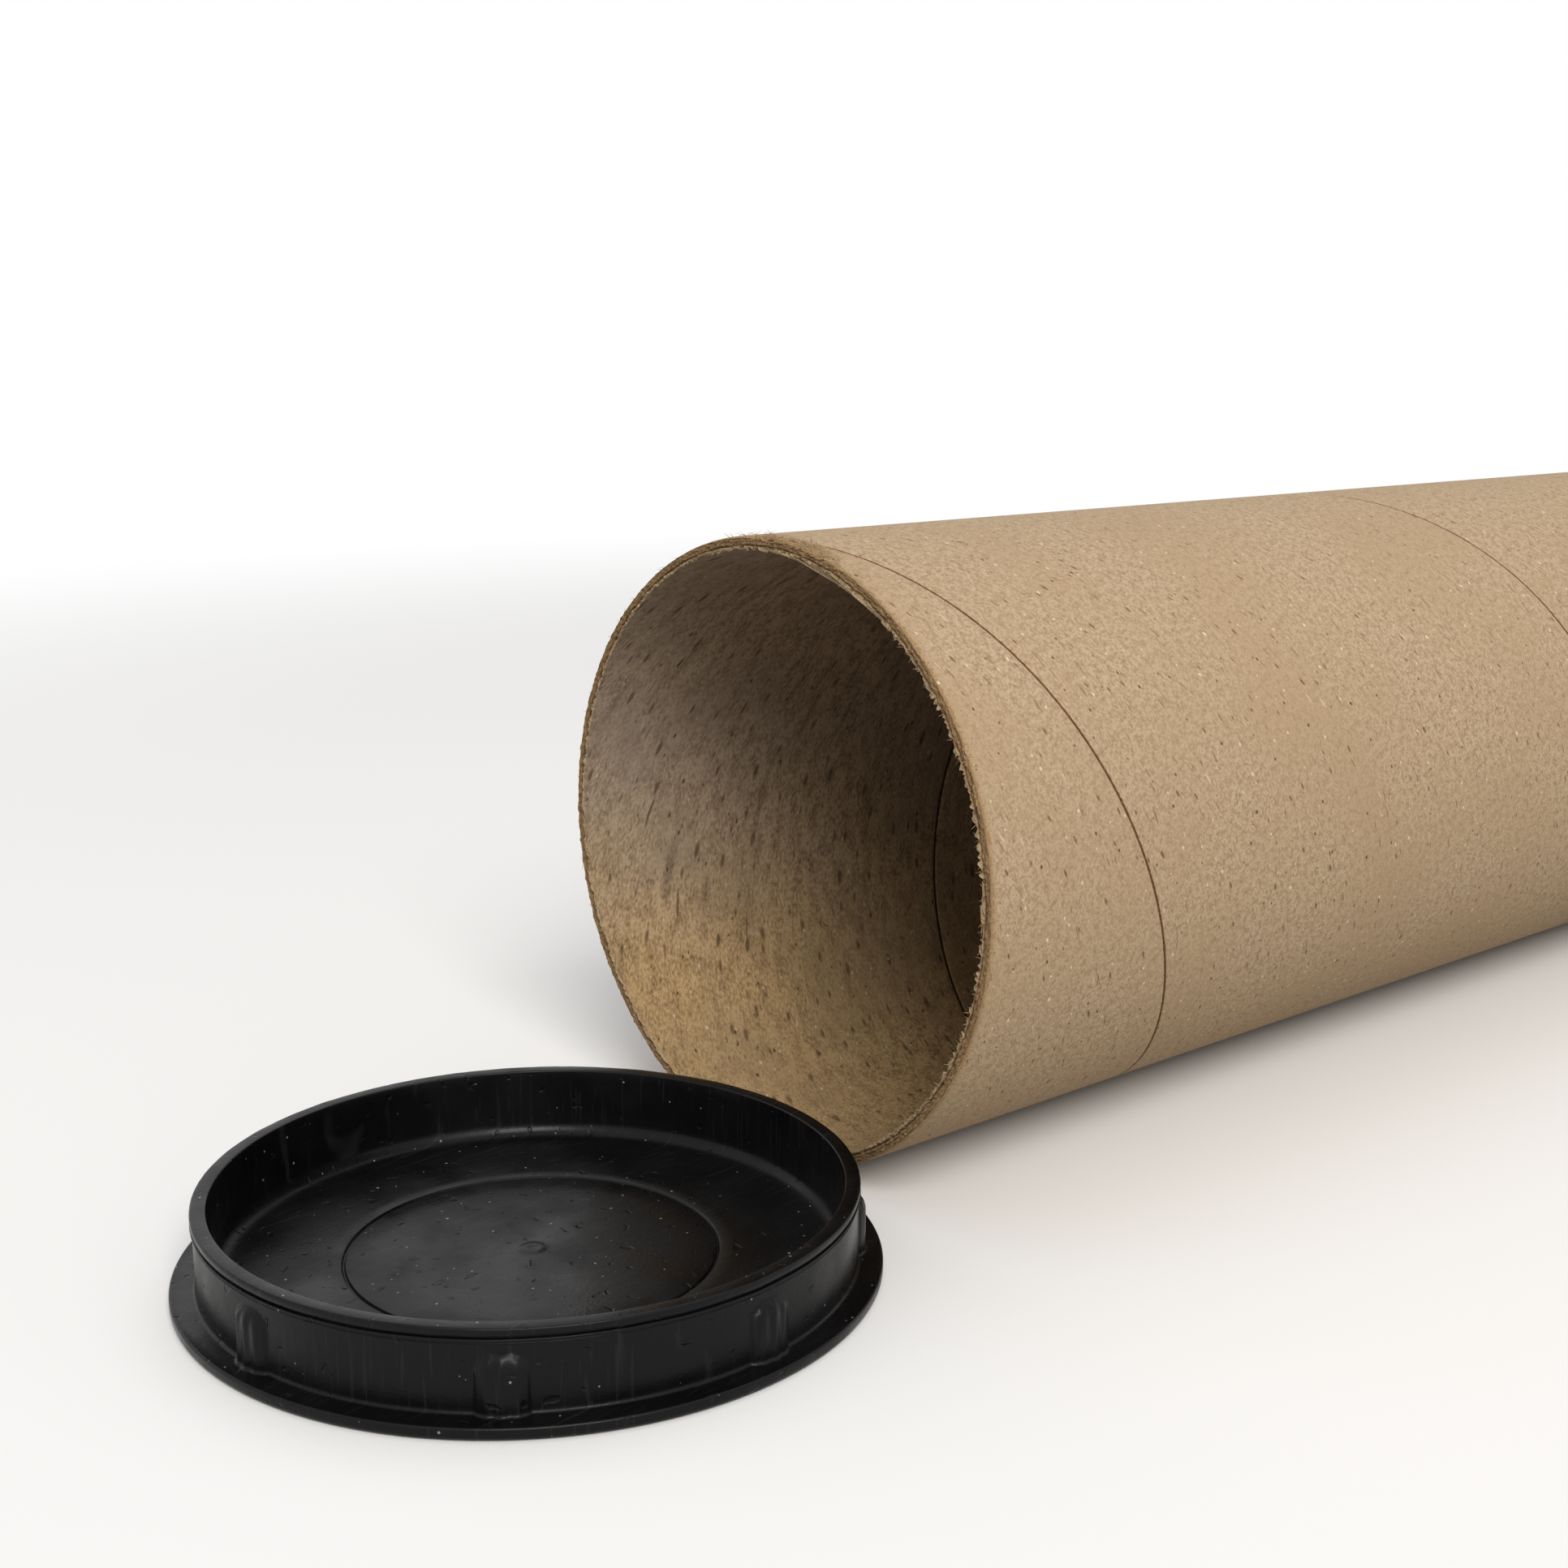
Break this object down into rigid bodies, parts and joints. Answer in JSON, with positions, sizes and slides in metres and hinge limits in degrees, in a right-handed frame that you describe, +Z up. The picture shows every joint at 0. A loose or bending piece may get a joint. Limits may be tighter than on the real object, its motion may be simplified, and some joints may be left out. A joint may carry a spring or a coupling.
{
  "type": "shipping tube",
  "caption": "Spirally wound paperboard shipping tube lying on its side, with a plug cap in the far end and the mouth's plug cap lying in front of it.",
  "frame": {"origin": "middle of the base of the whole part's box, on the floor", "axes": "+X along the tube from the open mouth to the closed end, +Z up, -Y towards the side that the picture shows"},
  "size_m": [0.692, 0.0874, 0.0794],
  "materials": {
    "kraft_paperboard": "uncoated brown kraft paper with short dark and pale fibres",
    "black_plastic": "black moulded polyethylene, satin gloss"
  },
  "bodies": {
    "tube_body": {"tube": "kraft_paperboard", "loose_cap": "black_plastic"},
    "rear_cap_body": {"rear_cap": "black_plastic"}
  },
  "joints": [
    {"name": "rear_cap_pull", "type": "slide", "parent": "tube_body", "child": "rear_cap_body", "axis": [1, 0, 0], "range_m": [0, 0.04]}
  ]
}
